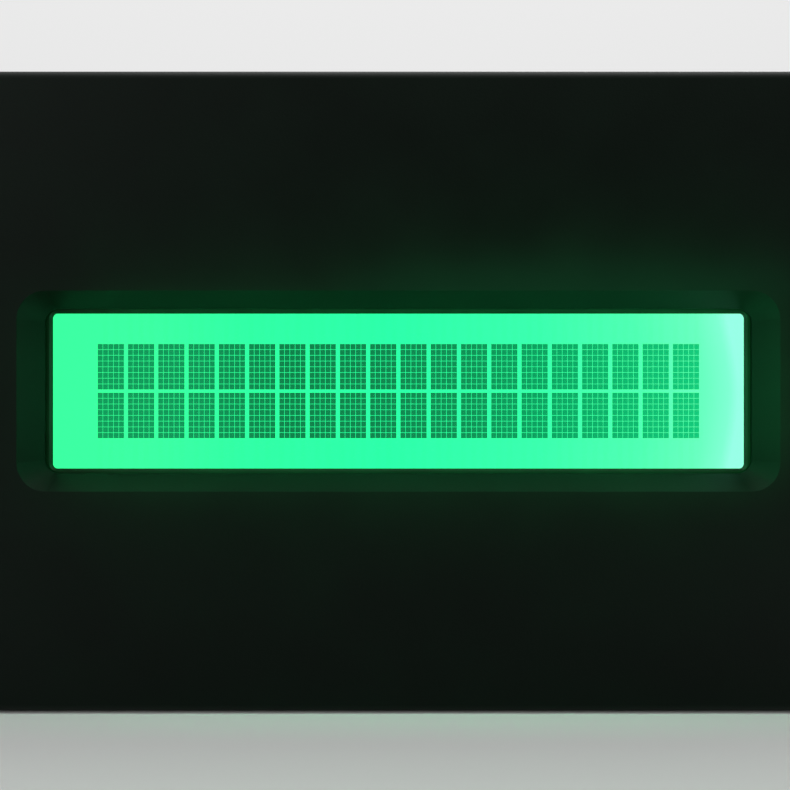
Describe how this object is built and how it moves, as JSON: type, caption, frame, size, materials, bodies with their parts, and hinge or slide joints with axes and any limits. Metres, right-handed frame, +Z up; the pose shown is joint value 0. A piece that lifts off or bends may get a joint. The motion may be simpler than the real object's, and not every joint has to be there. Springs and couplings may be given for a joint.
{
  "type": "character lcd display module",
  "caption": "Panel display: a green backlit dot-matrix liquid crystal window set in a bevelled dark bezel, with its module screwed behind.",
  "frame": {"origin": "centre of the rear mounting plane, level with the ends of the four corner bosses, on the window's axis", "axes": "+X to the right of a viewer who faces the window, +Z up, +Y backwards out of the rear; the window faces -Y"},
  "size_m": [0.134, 0.0209, 0.074],
  "materials": {
    "bezel_plastic": "moulded, fine spark texture, near black",
    "black_metal": "thin satin black coat on folded steel",
    "polarizer_film": "glossy clear film with a slight green grey tint",
    "cell_glass": "clear, polished, ground edges",
    "clear_electrode": "transparent conductive film",
    "liquid_crystal": "backlit bright green, dark green dots",
    "seal_resin": "cured resin",
    "port_resin": "clear amber resin",
    "zebra_rubber": "soft, finely striped conductive rubber",
    "diffuser_film": "milky film",
    "guide_acrylic": "clear acrylic lit green from its end",
    "white_film": "white reflecting film",
    "board_green": "green solder mask over copper tracks",
    "lamp_body": "white lamp body with a clear lens",
    "white_plastic": "white reflective moulding",
    "tinned_wire": "tinned",
    "header_plastic": "black moulded strip",
    "gold_pin": "thin gold plating",
    "black_resin": "satin poured resin",
    "chip_black": "black glazed ceramic with tinned ends",
    "chip_tan": "tan ceramic with tinned ends",
    "zinc_screw": "bright zinc plating"
  },
  "bodies": {
    "root": {"front_bezel": "bezel_plastic", "metal_frame": "black_metal", "front_polarizer": "polarizer_film", "front_glass": "cell_glass", "column_electrodes": "clear_electrode", "liquid_crystal": "liquid_crystal", "cell_seal": "seal_resin", "fill_port_plug": "port_resin", "row_electrodes": "clear_electrode", "rear_glass": "cell_glass", "rear_polarizer": "polarizer_film", "upper_zebra_strip": "zebra_rubber", "lower_zebra_strip": "zebra_rubber", "diffuser_sheet": "diffuser_film", "light_guide": "guide_acrylic", "reflector_sheet": "white_film", "led_board": "board_green", "led_chips": "lamp_body", "backlight_tray": "white_plastic", "backlight_leads": "tinned_wire", "circuit_board": "board_green", "header_body": "header_plastic", "header_pins": "gold_pin", "controller_blob": "black_resin", "left_driver_blob": "black_resin", "right_driver_blob": "black_resin", "chip_resistors": "chip_black", "chip_capacitors": "chip_tan", "backlight_resistor": "chip_black", "module_screws": "zinc_screw"}
  },
  "joints": []
}
